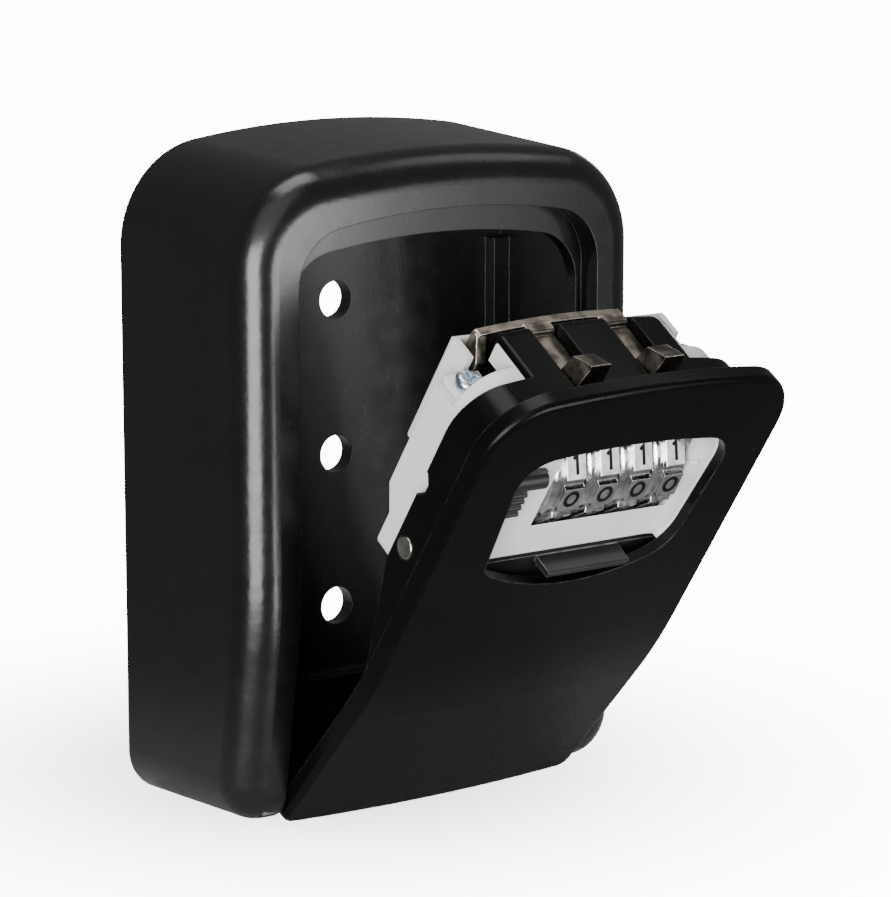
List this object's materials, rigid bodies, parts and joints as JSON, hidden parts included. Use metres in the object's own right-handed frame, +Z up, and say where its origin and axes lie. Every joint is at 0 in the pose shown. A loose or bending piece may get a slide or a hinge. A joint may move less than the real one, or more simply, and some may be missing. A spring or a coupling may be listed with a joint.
{
  "type": "key lock box",
  "caption": "Wall key lock box: arched die-cast housing with a hollow for keys, closed by a fold-down door that carries number dials, a release lever and a spring latch.",
  "frame": {"origin": "centre of the middle wall hole, on the back face that rests on the wall", "axes": "+Z up, +X to the right of someone who faces the box, +Y into the wall (the box stands out towards -Y)"},
  "size_m": [0.088, 0.0966, 0.1207],
  "materials": {
    "black_casting": "satin black powder coat on die-cast zinc",
    "black_casting_door": "satin black powder coat, edges slightly worn",
    "grey_shell": "fine matt light grey",
    "dial_chrome": "bright chrome with black filled numbers",
    "dark_nickel": "dark nickel, rubbed bright at the edges",
    "black_lever": "satin black",
    "black_plastic": "satin black, ribbed",
    "zinc_screw": "bluish zinc plate",
    "nickel_pin": "nickel plate",
    "steel": "turned steel",
    "spring_steel": "drawn spring steel"
  },
  "bodies": {
    "housing": {"housing": "black_casting"},
    "door": {"door": "black_casting_door", "hinge_pins": "steel", "lock_body": "grey_shell", "lock_rear_cover": "grey_shell", "cover_screws": "zinc_screw", "dial_spindle": "steel", "spindle_clips": "steel", "detent_spring": "spring_steel", "lever_pin": "nickel_pin", "latch_springs": "spring_steel"},
    "latch": {"latch": "dark_nickel"},
    "lever": {"release_lever": "black_lever"},
    "code_slider": {"code_slider": "black_plastic", "slider_clip": "spring_steel"},
    "dial_1": {"dial_1": "dial_chrome", "code_sleeve_1": "steel"},
    "dial_2": {"dial_2": "dial_chrome", "code_sleeve_2": "steel"},
    "dial_3": {"dial_3": "dial_chrome", "code_sleeve_3": "steel"},
    "dial_4": {"dial_4": "dial_chrome", "code_sleeve_4": "steel"}
  },
  "joints": [
    {"name": "door_hinge", "type": "hinge", "parent": "housing", "child": "door", "pos_m": [0, -0.0304, -0.0551], "axis": [1, 0, 0], "range_deg": [-34.5, 0]},
    {"name": "latch_slide", "type": "slide", "parent": "door", "child": "latch", "axis": [0, -0.5664, 0.8241], "range_m": [-0.0028, 0], "stiffness_N_per_m": 100, "springref_m": 0.004, "deforming": ["latch_springs"]},
    {"name": "lever_rock", "type": "hinge", "parent": "door", "child": "lever", "pos_m": [0, -0.06564, -0.00312], "axis": [1, 0, 0], "range_deg": [-15.7, 0]},
    {"name": "code_slide", "type": "slide", "parent": "door", "child": "code_slider", "axis": [0, -0.5664, 0.8241], "range_m": [-0.0028, 0]},
    {"name": "dial_1_turn", "type": "hinge", "parent": "door", "child": "dial_1", "pos_m": [0, -0.0712, 0.00956], "axis": [1, 0, 0], "continuous": true},
    {"name": "dial_2_turn", "type": "hinge", "parent": "door", "child": "dial_2", "pos_m": [0, -0.0712, 0.00956], "axis": [1, 0, 0], "continuous": true},
    {"name": "dial_3_turn", "type": "hinge", "parent": "door", "child": "dial_3", "pos_m": [0, -0.0712, 0.00956], "axis": [1, 0, 0], "continuous": true},
    {"name": "dial_4_turn", "type": "hinge", "parent": "door", "child": "dial_4", "pos_m": [0, -0.0712, 0.00956], "axis": [1, 0, 0], "continuous": true}
  ],
  "couplings": [
    {"joint": "lever_rock", "follows": "latch_slide", "rad_per_m": 97.2}
  ]
}
